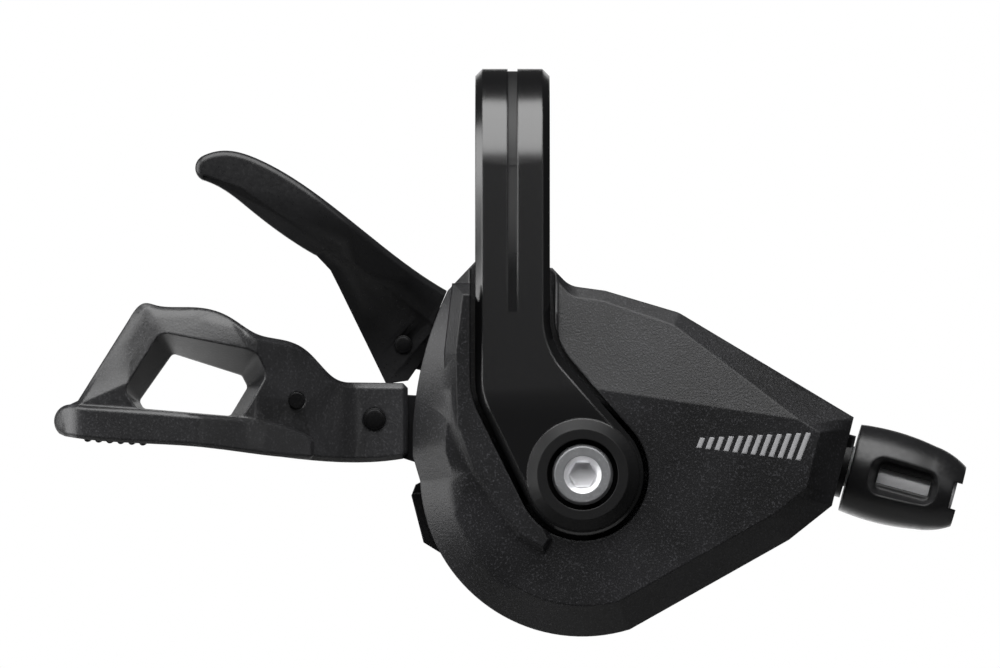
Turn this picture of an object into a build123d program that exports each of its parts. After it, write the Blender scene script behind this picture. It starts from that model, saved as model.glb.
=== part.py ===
from build123d import *
import math
import os

# Trigger gear shifter for the right-hand end of a flat handlebar: twelve positions, band clamp, two levers.
# Frame in millimetres: origin at the centre of the clamp bore, +X along the bar toward the cable outlet,
# +Y away from the front face, +Z up. Depths along Y are negative toward the front.

# Clamp
BAR_DIAMETER = 22.2
BAND_WIDTH = 9.2
BAND_THICKNESS = 2.8
LEG_SLOPE = 8.0
LEG_SWEEP = 9.0
LEG_KNEE = 30.0
BAND_BEVEL = 0.9
BOSS_RADIUS = 7.5
BOLT_HEAD_RADIUS = 3.76
BOLT_RADIUS = 2.5
HEX_KEY = 3.0

# Main axle, seen from the bar centre
AXLE_X = 8.6
AXLE_DROP = 36.2
AXLE_RADIUS = 4.0
AXLE_END_Y = -12.9
STUB_RADIUS = 3.0
STAKE_RADIUS = 1.4
RUNNING_FIT = 0.05

# Housing
BODY_RADIUS = 20.0
SKIN = 1.6
FACE_TILT = 3.0
RIM_DEPTH = 12.1
BEVEL_HEIGHT = 4.0
BEVEL_ANGLE = 44.0
SPLIT_Y = -4.4
ROOF_Y = -10.9
CASE_BACK_Y = 10.8
HORN_DROP = 10.0
CORNER_ROUND = 3.0
RECESS_GAP = 0.65
SCREW_RADIUS = 1.1
SCREW_BOSS_RADIUS = 2.6
PLUG_ANGLE = 255.0

# Mechanism
CLICK_ANGLE = 12.0
PAWL_ROOM = 2.5
TOOTH_DEPTH = 1.2
PAWL_LIFT = 12.0
PAWL_REACH = 28.0
PAWL_PIN_RADIUS = 1.2
WINDING_TOOTH = 14
POSITION_TOOTH = 3
HUB_RADIUS = 6.0
KEY_FLAT = 5.2
GROOVE_DEPTH = 1.4
CABLE_Y = -0.4
PLATE_NEAR_Y = -10.5
RATCHET_NEAR_Y = -8.7
RELEASE_NEAR_Y = -6.2
BASE_NEAR_Y = 4.2
PLATE_THICKNESS = 1.5

# Levers
BLOCK_NEAR_Y = -12.4
BLOCK_DEEP_Y = -7.4
LOOP_NEAR_Y = -22.5
LOOP_DEEP_Y = -16.6
PAD_NEAR_Y = -27.0
PADDLE_NEAR_Y = -16.2
PADDLE_DEEP_Y = -12.4
GUSSET_NEAR_Y = -7.0
GUSSET_DEEP_Y = -3.6
RIB_COUNT = 6
LEVER_BEVEL = 0.6
PAD_BEVEL = 0.4
PADDLE_ROUND = 0.8
PADDLE_SWEEP = 14.0
CREASE_STEP = 0.35

# Cable adjuster: its axis leaves the housing to the right, falling a little
ADJUSTER_FALL = 15.2
ADJUSTER_RISE = 0.82
KNOB_LENGTH = 14.0
KNOB_RADIUS = 5.5
SLEEVE_RADIUS = 2.7
CASING_SOCKET_RADIUS = 2.15
NECK_RADIUS = 3.95

AXLE_Z = -AXLE_DROP
BORE_RADIUS = BAR_DIAMETER / 2
BAND_RADIUS = BORE_RADIUS + BAND_THICKNESS
LEG_TAN = math.tan(math.radians(LEG_SLOPE))
LEG_COS = math.cos(math.radians(LEG_SLOPE))
TANGENT_Y = -BAND_RADIUS * LEG_COS
TANGENT_Z = BAND_RADIUS * math.sin(math.radians(LEG_SLOPE))
LEG_DEPTH = BAND_THICKNESS / LEG_COS
BOSS_Y = TANGENT_Y - (TANGENT_Z - AXLE_Z - 9.0) * LEG_TAN
HORN_V = AXLE_DROP - HORN_DROP
HORN_LEFT = -AXLE_X - BAND_WIDTH / 2
HORN_RIGHT = -AXLE_X + BAND_WIDTH / 2
PAWL_PIVOT_RADIUS = BODY_RADIUS - SKIN - PAWL_ROOM
RATCHET_TIP = PAWL_PIVOT_RADIUS - PAWL_ROOM
RATCHET_ROOT = RATCHET_TIP - TOOTH_DEPTH
DRUM_RADIUS = RATCHET_TIP - 1.8
GROOVE_RADIUS = DRUM_RADIUS - GROOVE_DEPTH
POCKET_OUTER = DRUM_RADIUS - 2.2
POCKET_INNER = HUB_RADIUS - 0.6
WINDING_PIVOT_ANGLE = WINDING_TOOTH * CLICK_ANGLE + PAWL_REACH
POSITION_PIVOT_ANGLE = POSITION_TOOTH * CLICK_ANGLE + PAWL_REACH
INNER_RIVET = (-25.6, 6.8)
INNER_RIVET_RADIUS = 1.35
OUTER_RIVET = (-35.1, 9.1)
OUTER_RIVET_RADIUS = 1.0
RELEASE_RIVET = (-22.1, 16.0)
RELEASE_RIVET_RADIUS = 1.1
SPRING_POST = (BODY_RADIUS * 0.72, BODY_RADIUS * -0.43)
ADJUSTER_START = (BODY_RADIUS + 12.9, ADJUSTER_RISE)
SCREW_PLACES = [(2.6, HORN_V - 7.0), (BODY_RADIUS + 2.0, -5.0), (BODY_RADIUS + 4.0, 9.3)]


def at(u, v):
    """Point in the front view, measured from the main axle."""
    return (AXLE_X + u, AXLE_Z + v)


def polar(radius, degrees):
    """Point in the front view at a radius and angle about the main axle."""
    angle = math.radians(degrees)
    return at(radius * math.cos(angle), radius * math.sin(angle))


def outline(*points):
    """Closed face in the front view through points measured from the axle."""
    return make_face(Polyline(*[at(u, v) for u, v in points], close=True))


def spread(*points):
    """Closed face in the front view through points measured from the bar centre."""
    return make_face(Polyline(*points, close=True))


def slab(face, near, deep):
    """Solid of a front-view face between two depths."""
    return extrude(Plane.XZ.offset(-deep) * face, amount=deep - near)


def disc(radius, near, deep, centre=None):
    """Cylinder along Y, on the main axle unless another centre is given."""
    x, z = centre or at(0, 0)
    return slab(Pos(x, z) * Circle(radius), near, deep)


def leg_near_y(z):
    """Depth of the clamp leg's front face at a height."""
    return TANGENT_Y - (TANGENT_Z - z) * LEG_TAN


def bar(radius, length):
    """Cylinder on the bar's axis."""
    return Rot(0, 90, 0) * Cylinder(radius, length)


def coil(centre, radius, wire, near, deep, turns):
    """Coil spring of square wire on an axis along Y."""
    height = deep - near - 2 * wire
    path = Helix(pitch=height / turns, height=height, radius=radius)
    ring = sweep(Plane(path @ 0, z_dir=path % 0) * RegularPolygon(wire, 4), path=path)
    return Pos(centre[0], deep - wire, centre[1]) * Rot(90, 0, 0) * ring


def front_plane(depth):
    """Plane of the tilted front face, at a distance in front of the rim."""
    tilt = math.radians(FACE_TILT)
    normal = Vector(math.sin(tilt), -math.cos(tilt), 0)
    start = Vector(AXLE_X, -RIM_DEPTH, AXLE_Z) + normal * depth
    return Plane(origin=start, x_dir=(math.cos(tilt), math.sin(tilt), 0), z_dir=normal)


def housing_lines():
    """Front outline of the housing about the axle: horn beside the clamp, round body, straight tail."""
    low = math.radians(-73)
    low_end = (BODY_RADIUS * math.cos(low), BODY_RADIUS * math.sin(low))
    left_end = (-BODY_RADIUS, -0.8)
    tail = Polyline(
        low_end, (BODY_RADIUS + 5.5, -8.1), (BODY_RADIUS + 10.8, -3.9), (BODY_RADIUS + 13.5, 7.0),
        (BODY_RADIUS - 8.1, HORN_V - 6.3), (HORN_RIGHT + 6.8, HORN_V - 3.6), (HORN_RIGHT + 2.4, HORN_V - 3.0),
        (HORN_RIGHT + 0.3, HORN_V - 0.8), (HORN_LEFT, HORN_V), (HORN_LEFT - 3.4, HORN_V - 3.6),
    )
    shoulder_end = (-BODY_RADIUS - 0.9, 2.2)
    side = ThreePointArc((HORN_LEFT - 3.4, HORN_V - 3.6), (-BODY_RADIUS - 0.3, 11.0), shoulder_end)
    shoulder = Line(shoulder_end, left_end)
    round_body = ThreePointArc(left_end, (-BODY_RADIUS * 0.642, -BODY_RADIUS * 0.767), low_end)
    face = make_face(tail.edges() + side.edges() + shoulder.edges() + round_body.edges())
    bends = [(BODY_RADIUS - 8.1, HORN_V - 6.3), (HORN_RIGHT + 2.4, HORN_V - 3.0)]
    for bend in bends:
        corner = face.vertices().sort_by_distance(Vector(*bend))[0]
        face = fillet(corner, CORNER_ROUND)
    return face


def housing_face():
    """Housing outline in the front view."""
    return Pos(AXLE_X, AXLE_Z) * housing_lines()


def case_face():
    """Lower case outline: the housing outline without the hump and horn beside the clamp."""
    return housing_face() & (Pos(*at(0, HORN_V - 46.2)) * Rectangle(120, 86))


def shrunk(face, inset):
    """Face drawn inward by a wall thickness, with its corners kept sharp."""
    return offset(face, amount=-inset, kind=Kind.INTERSECTION)


def lever_gap(inset, step):
    """Opening on the lever side of the housing, its inner edge set off from the clamp's left side."""
    wall = BODY_RADIUS - SKIN
    inner = HORN_LEFT - inset
    return outline(
        (inner, HORN_V + 3), (inner, step), (3.4 - wall, 11), (1.4 - wall, 8), (-wall, -2.2),
        (-wall - 8, -3.2), (-wall - 16, 10), (-wall - 8, HORN_V + 3),
    )


def boss_tangent(corner, turn):
    """Point where a line from a corner of the leg touches the boss, on the side that turn gives."""
    reach = Vector(*at(0, 0)) - Vector(*corner)
    swing = math.asin(BOSS_RADIUS / reach.length)
    length = math.sqrt(reach.length ** 2 - BOSS_RADIUS ** 2)
    angle = math.atan2(reach.Y, reach.X) + turn * swing
    return (corner[0] + length * math.cos(angle), corner[1] + length * math.sin(angle))


def leg_face(gap):
    """Front outline of the clamp leg and boss with swept sides, grown by a gap on every side."""
    half = BAND_WIDTH / 2
    left = (-half, AXLE_Z + 9.7)
    right = (half, AXLE_Z + 16.0)
    leg = spread(
        (-half, 20), left, boss_tangent(left, -1), at(0, 0), boss_tangent(right, 1), right, (half, 20),
    )
    bends = leg.vertices().sort_by(Axis.Y)[3:5]
    leg = fillet(bends, LEG_SWEEP) + Pos(*at(0, 0)) * Circle(BOSS_RADIUS)
    return offset(leg, amount=gap) if gap else leg


def on_leg_front(point):
    """Whether a point lies on the front of the leg or of the boss plate."""
    return abs(point.Y - max(leg_near_y(point.Z), BOSS_Y)) < 0.2


def leg_body():
    """Sloping leg between the ring and the bolt boss, bevelled along its front edges."""
    slope = math.radians(LEG_SLOPE)
    knee_z = AXLE_Z + 9
    side = make_face(
        Polyline(
            (TANGENT_Y, TANGENT_Z), (BOSS_Y, knee_z), (BOSS_Y, AXLE_Z - 12),
            (BOSS_Y + LEG_DEPTH, AXLE_Z - 12), (BOSS_Y + LEG_DEPTH, knee_z),
            (TANGENT_Y + BAND_THICKNESS * math.cos(slope), TANGENT_Z - BAND_THICKNESS * math.sin(slope)),
            close=True,
        )
    )
    side = fillet([corner for corner in side.vertices() if abs(corner.Y - knee_z) < 0.01], LEG_KNEE)
    leg = extrude(Plane.YZ * side, amount=40, both=True) & slab(leg_face(0), -40, 40)
    rim = [line for line in leg.edges() if on_leg_front(line @ 0) and on_leg_front(line @ 1)]
    return chamfer([line for line in rim if abs((line @ 0).Z - (line @ 1).Z) > 0.01], BAND_BEVEL)


def ring_body():
    """Ring round the bar with bevelled outer edges, open where the leg leaves it."""
    half = BAND_WIDTH / 2
    section = Polyline(
        (-half, BORE_RADIUS), (half, BORE_RADIUS), (half, BAND_RADIUS - BAND_BEVEL),
        (half - BAND_BEVEL, BAND_RADIUS), (BAND_BEVEL - half, BAND_RADIUS), (-half, BAND_RADIUS - BAND_BEVEL),
        close=True,
    )
    ring = revolve(make_face(section), axis=Axis.X)
    mouth = make_face(Polyline((0, 0), (-30, 15 * LEG_TAN), (-40, -40), (-4.0, -15.0), close=True))
    return ring - extrude(Plane.YZ * mouth, amount=40, both=True)


def make_clamp_band():
    """One-piece band: ring, sloping leg, bolt boss, and a tongue that seats in the lower case."""
    band = ring_body() + leg_body()
    band += disc(BOSS_RADIUS, BOSS_Y + 1, AXLE_END_Y)
    rim = Plane.XZ.offset(-BOSS_Y - 0.2) * (Pos(*at(0, 0)) * Circle(BOSS_RADIUS - 0.5))
    band += extrude(rim, amount=1.4, taper=45)
    band += tongue()
    band -= bar(BORE_RADIUS, 60)
    band -= disc(BOLT_HEAD_RADIUS + 0.6, -40, BOSS_Y + 1.8)
    band -= disc(BOLT_RADIUS + 0.2, -40, 0)
    for end in (-1, 1):
        band -= Pos(end * BAND_WIDTH / 2, BAND_RADIUS, -1.55) * Box(1.6, 8, 2.3)
    groove = Circle(BAND_RADIUS + 1) - Circle(BAND_RADIUS - 0.3)
    below = Polyline((0, 0), (-30 * LEG_COS, 30 * LEG_TAN), (-40, -60), (60, -60), (60, 5), close=True)
    groove -= make_face(below)
    runout = Polyline((TANGENT_Y + 0.3, TANGENT_Z), (leg_near_y(AXLE_Z + 20), AXLE_Z + 20),
                      (TANGENT_Y - 4, TANGENT_Z), close=True)
    groove += make_face(runout)
    return band - extrude(Plane.YZ * groove, amount=0.6, both=True)


def tongue():
    """Block under the ring that seats in the socket of the lower case."""
    return Pos(0, 0.7, -BAND_RADIUS - 1.0) * Box(BAND_WIDTH - 0.8, 5.0, 5.8)


def make_clamp_bolt():
    """Low-head clamp bolt with a hexagon socket, screwed into the near end of the axle."""
    seat = BOSS_Y + 1.8
    bolt = disc(BOLT_HEAD_RADIUS, seat - 2.6, seat)
    bolt = chamfer(bolt.edges().group_by(Axis.Y)[0], 0.35)
    bolt += disc(BOLT_RADIUS, seat, -5.5)
    hexagon = Pos(*at(0, 0)) * RegularPolygon(HEX_KEY / 2, 6, major_radius=False)
    bolt -= slab(hexagon, seat - 4, seat - 0.4)
    return bolt - Pos(AXLE_X, seat - 2.2, AXLE_Z) * Rot(90, 0, 0) * Cone(1.5, 2.3, 0.8)


def make_upper_cover():
    """Front moulding: tilted face, bevelled rim, ridge and recess for the leg, open on the lever side."""
    rim = front_plane(0)
    cover = extrude(rim * housing_lines(), amount=BEVEL_HEIGHT, taper=BEVEL_ANGLE)
    cover += extrude(rim * housing_lines(), amount=20, dir=(0, 1, 0))
    cover -= Pos(AXLE_X, SPLIT_Y + 25, AXLE_Z) * Box(150, 50, 150)
    ridge = make_face(
        Polyline(
            (HORN_LEFT - 3.0, HORN_V - 2.7), (HORN_LEFT - 4.0, HORN_V - 11.2), (HORN_LEFT - 3.8, 6),
            (-14.8, 0), (-8.8, -8.4), (-4.6, -10.8), (-3, -8), (-7, 0), (HORN_LEFT + 2.2, 8),
            (HORN_LEFT + 1.7, HORN_V - 2.7), close=True,
        )
    )
    cover += extrude(front_plane(BEVEL_HEIGHT - 1.2) * ridge, amount=2.2, taper=32)
    cover -= facet_cut()
    recess = leg_face(RECESS_GAP)
    cover -= slab(recess, -40, BOSS_Y + LEG_DEPTH + 0.4)
    cover -= split(slab(recess, -40, 0), bisect_by=leg_clearance(), keep=Keep.TOP)
    cover -= disc(BOSS_RADIUS + RECESS_GAP, -40, AXLE_END_Y + 0.4)
    cavity = shrunk(housing_face(), SKIN)
    cover -= slab(cavity, ROOF_Y, SPLIT_Y)
    cover -= slab(lever_gap(1.55, 11.2), BLOCK_NEAR_Y - 0.3, RATCHET_NEAR_Y - 0.5)
    cover -= slab(lever_gap(0.2, 16), RATCHET_NEAR_Y - 0.5, SPLIT_Y + 1.4)
    for place in SCREW_PLACES:
        cover += disc(SCREW_BOSS_RADIUS, ROOF_Y - 0.5, SPLIT_Y, at(*place))
        cover -= disc(SCREW_RADIUS + 0.05, ROOF_Y + 1.0, SPLIT_Y, at(*place))
    cover -= disc(AXLE_RADIUS + 0.15, -40, 0)
    cover -= bar(BORE_RADIUS + 0.9, 200)
    cover -= bar(BAND_RADIUS + 0.3, BAND_WIDTH + 0.6)
    return cover


def leg_clearance():
    """Plane just behind the clamp leg's back face."""
    y = leg_near_y(0) + LEG_DEPTH + 0.4
    return Plane(origin=(0, y, 0), x_dir=(1, 0, 0), z_dir=(0, -LEG_COS, LEG_COS * LEG_TAN))


def facet_cut():
    """Wedge that leaves the lit facet along the upper edge of the front face."""
    face = front_plane(BEVEL_HEIGHT)
    start = face.from_local_coords((3.9, 10.1, 0))
    along = face.from_local_coords((30.5, 6.1, 0)) - start
    back = face.from_local_coords((10.3, 18.7, 1.7 - BEVEL_HEIGHT)) - start
    plane = Plane(origin=start, x_dir=along, z_dir=along.cross(back))
    area = outline((-3.0, 32), (-3.0, 15.0), (2.0, 10.4), (3.9, 10.1), (50, 3.2), (50, 32))
    return split(slab(area, -40, 0), bisect_by=plane, keep=Keep.TOP)


def make_lower_case():
    """Rear moulding: walls, lever-side lip, cable port, clamp socket, bosses and a lug at the lower left."""
    case = slab(case_face(), SPLIT_Y, CASE_BACK_Y - 1.6)
    case += extrude(Plane.XZ.offset(1.6 - CASE_BACK_Y) * case_face(), amount=-1.6, taper=35)
    case -= slab(shrunk(case_face(), SKIN), SPLIT_Y, CASE_BACK_Y - 1.8)
    inside = slab(shrunk(case_face(), SKIN / 2), SPLIT_Y, CASE_BACK_Y - 1.0)
    lug = outline((-19.0, -0.6), (-20.6, -1.4), (-21.1, -2.7), (-19.6, -8.5), (-16.2, -10.6), (-15.4, -10.0))
    lug -= Pos(*at(0, 0)) * Circle(BODY_RADIUS - SKIN)
    case += slab(lug, SPLIT_Y, 3.0)
    case += (Pos(0, 0.7, -BAND_RADIUS - 2.5) * Box(BAND_WIDTH + 2.6, 8.0, 6.4)) & inside
    case -= tongue()
    floor = CASE_BACK_Y - 1.8
    for angle in (30, 150, 270):
        case += disc(2.0, BASE_NEAR_Y + PLATE_THICKNESS, floor + 0.2, polar(PAWL_PIVOT_RADIUS - 1.7, angle))
    for place in SCREW_PLACES:
        case += disc(SCREW_BOSS_RADIUS, SPLIT_Y, floor + 0.2, at(*place)) & inside
        case -= disc(SCREW_RADIUS + 0.05, SPLIT_Y - 1, CASE_BACK_Y + 1, at(*place))
        case -= disc(2.1, CASE_BACK_Y - 1.2, CASE_BACK_Y + 1, at(*place))
    behind_split = slab(outline((0, -30), (60, -30), (60, 30), (0, 30)), SPLIT_Y, 20)
    case += turned([(0, -9.0), (NECK_RADIUS, -9.0), (NECK_RADIUS, 0), (0, 0)]) & behind_split
    case -= turned([(0, -20.0), (SLEEVE_RADIUS + 0.08, -20.0), (SLEEVE_RADIUS + 0.08, 1), (0, 1)])
    case -= slab(lever_gap(0.2, 16), SPLIT_Y - 1, SPLIT_Y + 1.1)
    case -= plug_solid()
    case -= bar(BORE_RADIUS + 0.9, 200)
    case -= bar(BAND_RADIUS + 0.3, BAND_WIDTH + 0.6)
    return case


def adjuster_plane(along):
    """Plane across the adjuster's axis at a distance from the housing, facing outward."""
    fall = math.radians(ADJUSTER_FALL)
    x, z = at(*ADJUSTER_START)
    direction = Vector(math.cos(fall), 0, -math.sin(fall))
    return Plane(origin=Vector(x, CABLE_Y, z) + direction * along, x_dir=(0, 1, 0), z_dir=direction)


def turned(profile):
    """Body of revolution about the adjuster's axis from (radius, along) points."""
    section = make_face(Polyline(*[(radius, 0, along) for radius, along in profile], close=True))
    return adjuster_plane(0).location * revolve(section, axis=Axis.Z)


def plug_solid():
    """Round plug in the lower wall, on a radius of the body."""
    x, z = at(0, 0)
    return Pos(x, 2.0, z) * Rot(0, PLUG_ANGLE - 90, 0) * Pos(0, 0, BODY_RADIUS - 1.7) * Cylinder(2.6, 3.0)


def make_base_plate():
    """Steel plate that carries the axle and the pivot pins, resting on three bosses of the lower case."""
    pivot = Pos(*polar(PAWL_PIVOT_RADIUS, POSITION_PIVOT_ANGLE))
    plate = Pos(*at(0, 0)) * Circle(PAWL_PIVOT_RADIUS + 0.1) + pivot * Circle(2.6)
    plate += Pos(*at(*SPRING_POST)) * Circle(3.0)
    plate -= Pos(*at(0, 0)) * Circle(STUB_RADIUS) + pivot * Circle(STAKE_RADIUS)
    plate -= Pos(*at(*SPRING_POST)) * Circle(STAKE_RADIUS)
    for angle in (90, 200, 330):
        plate -= Pos(*polar(GROOVE_RADIUS + 0.3, angle)) * Circle(2.4)
    for place in SCREW_PLACES:
        plate -= Pos(*at(*place)) * Circle(SCREW_BOSS_RADIUS + 0.3)
    return slab(plate, BASE_NEAR_Y, BASE_NEAR_Y + PLATE_THICKNESS)


def make_main_axle():
    """Stepped axle: tapped near end under the clamp boss, journal, and a stub through the base plate."""
    axle = disc(AXLE_RADIUS, AXLE_END_Y, BASE_NEAR_Y) + disc(STUB_RADIUS, BASE_NEAR_Y, CASE_BACK_Y - 2.0)
    return axle - disc(BOLT_RADIUS + 0.02, AXLE_END_Y - 1, -4.5)


def make_axle_nut():
    """Hexagon nut that holds the axle to the base plate."""
    near = BASE_NEAR_Y + PLATE_THICKNESS
    hexagon = Pos(*at(0, 0)) * (RegularPolygon(5.0, 6, major_radius=False) - Circle(STUB_RADIUS + 0.02))
    return slab(hexagon, near, near + 2.8)


def make_cover_screw(place):
    """Cover screw with a cross recess in its head."""
    head_y = CASE_BACK_Y - 1.2
    centre = at(*place)
    screw = disc(1.9, head_y, head_y + 1.1, centre) + disc(SCREW_RADIUS, ROOF_Y + 1.5, head_y, centre)
    for angle in (0, 90):
        slot = Pos(centre[0], head_y + 1.1, centre[1]) * Rot(0, angle, 0) * Box(2.2, 1.2, 0.5)
        screw -= slot
    return screw


def make_cable_guide():
    """Nylon guide that turns the cable from the outlet to the underside of the drum."""
    start = adjuster_plane(-9.0).origin
    fall = math.radians(ADJUSTER_FALL)
    rise = math.radians(30)
    bend = start - Vector(math.cos(fall), 0, -math.sin(fall)) * 4.2
    finish = bend - Vector(math.cos(rise), 0, math.sin(rise)) * 8.0
    route = FilletPolyline(start, bend, finish, radius=4.5)
    tube = sweep(Plane(route @ 0, z_dir=route % 0) * (Circle(1.9) - Circle(0.9)), path=route)
    middle = route @ 0.5
    floor = CASE_BACK_Y - 1.8
    foot = Pos(middle.X, (floor + 0.2) / 2, middle.Z) * Box(4.4, floor - 0.2, 3.0)
    return tube + (foot - sweep(Plane(route @ 0, z_dir=route % 0) * Circle(1.5), path=route))


def make_drum():
    """Cable drum: grooved rim, hub for the ratchet and release plate, recess for its return spring."""
    drum = disc(DRUM_RADIUS, SPLIT_Y, 3.6) + disc(HUB_RADIUS, RATCHET_NEAR_Y, SPLIT_Y)
    groove = Circle(DRUM_RADIUS + 1) - Circle(GROOVE_RADIUS)
    drum -= slab(Pos(*at(0, 0)) * groove, CABLE_Y - 0.9, CABLE_Y + 0.9)
    drum -= slab(Pos(*at(0, 0)) * (Circle(POCKET_OUTER) - Circle(POCKET_INNER)), 1.0, 4)
    drum -= disc(1.7, SPLIT_Y - 1, 0.6, polar(DRUM_RADIUS - 2.0, 210))
    drum -= slab(outline((KEY_FLAT, -9), (9, -9), (9, 9), (KEY_FLAT, 9)), -9, RATCHET_NEAR_Y + 1.4)
    return drum - disc(AXLE_RADIUS + RUNNING_FIT, -20, 20)


def make_ratchet():
    """Ratchet plate with one saw tooth for each click all the way round, keyed to the drum's hub."""
    count = round(360 / CLICK_ANGLE)
    teeth = []
    for index in range(count):
        teeth.append(polar(RATCHET_ROOT, index * CLICK_ANGLE))
        teeth.append(polar(RATCHET_TIP, (index + 0.92) * CLICK_ANGLE))
    bore = Pos(*at(0, 0)) * Circle(HUB_RADIUS) & outline((-9, -9), (KEY_FLAT, -9), (KEY_FLAT, 9), (-9, 9))
    return slab(make_face(Polyline(*teeth, close=True)) - bore, RATCHET_NEAR_Y, RATCHET_NEAR_Y + 1.4)


def make_pawl(tooth):
    """Pawl for one ratchet tooth, lifted clear of the teeth about its pivot."""
    base = tooth * CLICK_ANGLE
    pivot = polar(PAWL_PIVOT_RADIUS, base + PAWL_REACH)
    arm = PAWL_PIVOT_RADIUS
    nose = [(RATCHET_ROOT + 0.2, 1.0), (RATCHET_TIP + 0.6, -0.2), (arm - 0.5, 8), (arm + 1.4, 22),
            (arm + 1.5, 28)]
    belly = [(arm - 1.3, 28), (arm - 1.6, 18), (RATCHET_TIP + 0.4, 11), (RATCHET_ROOT + 1.0, 6)]
    shape = make_face(Polyline(*[polar(radius, base + angle) for radius, angle in nose + belly], close=True))
    shape += Pos(*pivot) * Circle(1.9)
    shape -= Pos(*pivot) * Circle(PAWL_PIN_RADIUS + RUNNING_FIT)
    lifted = Pos(*pivot) * Rot(0, 0, PAWL_LIFT) * Pos(-pivot[0], -pivot[1]) * shape
    return slab(lifted, RATCHET_NEAR_Y + 0.1, RATCHET_NEAR_Y + 1.3)


def make_main_plate():
    """Steel plate of the main lever: ring on the axle, arm into the grip, lobe for the winding pawl."""
    lobe = -PAWL_PIVOT_RADIUS
    arm = outline(
        (-3, 7.0), (-12, 9.3), (-26.6, 10.0), (-26.6, 3.4), (lobe - 1.7, 0.5), (lobe - 1.5, -4),
        (lobe + 0.9, -6.2), (-3, -7),
    )
    pin = Pos(*polar(PAWL_PIVOT_RADIUS, WINDING_PIVOT_ANGLE))
    plate = Pos(*at(0, 0)) * Circle(7.6) + arm + pin * Circle(2.0)
    plate -= Pos(*at(0, 0)) * Circle(AXLE_RADIUS + RUNNING_FIT) + pin * Circle(PAWL_PIN_RADIUS)
    plate -= Pos(*at(*INNER_RIVET)) * Circle(INNER_RIVET_RADIUS)
    return slab(plate, PLATE_NEAR_Y, PLATE_NEAR_Y + PLATE_THICKNESS)


def lever_face():
    """Front outline of the main lever's grip."""
    root_top = Line(at(-21.5, 11.2), at(-28.6, 11.3))
    top = Spline(at(-28.6, 11.3), at(-31.4, 12.6), at(-34.4, 15.6), at(-36.2, 16.4), at(-39.8, 17.2),
                 at(-43.4, 19.4), at(-47.0, 20.5), at(-52.4, 20.8), at(-55.6, 19.1),
                 tangents=[(-1, 0), (-0.55, -1)])
    low = Spline(at(-63.7, 4.8), at(-61.0, 4.4), at(-46.4, 3.4), at(-37.2, 2.2), at(-24.3, 1.6),
                 at(-21.5, 2.0))
    tip = ThreePointArc(at(-62.2, 8.6), at(-64.6, 7.3), at(-63.7, 4.8))
    back = Line(at(-55.6, 19.1), at(-62.2, 8.6))
    end = Line(at(-21.5, 2.0), at(-21.5, 11.2))
    lines = (root_top, top, back, tip, low, end)
    return make_face([edge for line in lines for edge in line.edges()])


def lever_depth():
    """Top-view section of the main lever: flat root, step toward the front, flat loop."""
    left = -70
    points = [(-21, BLOCK_NEAR_Y), (-27.5, BLOCK_NEAR_Y), (-40.5, LOOP_NEAR_Y), (left, LOOP_NEAR_Y),
              (left, LOOP_DEEP_Y), (-36.6, LOOP_DEEP_Y), (-25.6, BLOCK_DEEP_Y), (-21, BLOCK_DEEP_Y)]
    section = make_face(Polyline(*[(AXLE_X + u, y) for u, y in points], close=True))
    return extrude(Plane.XY.offset(AXLE_Z - 5) * section, amount=40)


def loop_window():
    """Drafted window through the loop, wide at the front and narrow behind."""
    near = [(-51.8, 17.6), (-39.6, 15.2), (-37.8, 13.0), (-41.8, 7.0), (-54.4, 7.9), (-56.3, 10.4)]
    deep = [(-50.3, 14.8), (-41.9, 12.1), (-41.2, 10.7), (-43.3, 7.2), (-53.9, 8.1), (-54.4, 9.0)]
    front = Plane.XZ.offset(-LOOP_NEAR_Y + 0.1) * fillet(outline(*near).vertices(), 1.6)
    rear = Plane.XZ.offset(-LOOP_DEEP_Y - 0.1) * fillet(outline(*deep).vertices(), 0.6)
    return loft([front, rear], ruled=True)


def thumb_pad():
    """Wide thumb pad under the loop, tapering into the lever's root."""
    low = Spline(at(-63.7, 4.8), at(-61.0, 4.4), at(-46.4, 3.4), at(-37.2, 2.2), at(-33.0, 1.95))
    tip = ThreePointArc(at(-62.2, 8.6), at(-64.6, 7.3), at(-63.7, 4.8))
    top = Spline(at(-33.0, 4.4), at(-38.0, 6.5), at(-43.4, 7.15), at(-54.0, 8.0), at(-62.2, 8.6))
    end = Line(at(-33.0, 1.95), at(-33.0, 4.4))
    face = make_face([edge for line in (low, tip, top, end) for edge in line.edges()])
    plan = [(-62.0, PAD_NEAR_Y), (-47.0, PAD_NEAR_Y), (-32.0, LOOP_DEEP_Y - 0.8), (-32.0, LOOP_DEEP_Y),
            (-66.0, LOOP_DEEP_Y), (-66.0, PAD_NEAR_Y + 4.0)]
    section = make_face(Polyline(*[(AXLE_X + u, y) for u, y in plan], close=True))
    section = fillet(section.vertices().sort_by(Axis.Y)[:2], 3.0)
    return slab(face, -40, 0) & extrude(Plane.XY.offset(AXLE_Z - 5) * section, amount=40)


def make_main_grip():
    """Moulded main lever grip: flat root, step toward the front, open loop, wide thumb pad with ribs."""
    grip = slab(lever_face(), -40, 0) & lever_depth()
    grip = chamfer(grip.edges(), LEVER_BEVEL)
    grip -= loop_window()
    pad = thumb_pad()
    grip += chamfer(pad.edges(), PAD_BEVEL)
    middle = (PAD_NEAR_Y + LOOP_DEEP_Y) / 2
    for index in range(RIB_COUNT):
        x, z = at(-60.6 + index * 1.35, 4.5 - index * 0.09)
        grip += Pos(x, middle, z) * Rot(90, 0, 0) * Cylinder(0.45, LOOP_DEEP_Y - PAD_NEAR_Y - 4)
    grip -= make_main_plate()
    grip -= disc(INNER_RIVET_RADIUS, -30, 0, at(*INNER_RIVET))
    return grip - disc(OUTER_RIVET_RADIUS, -30, 0, at(*OUTER_RIVET))


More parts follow.
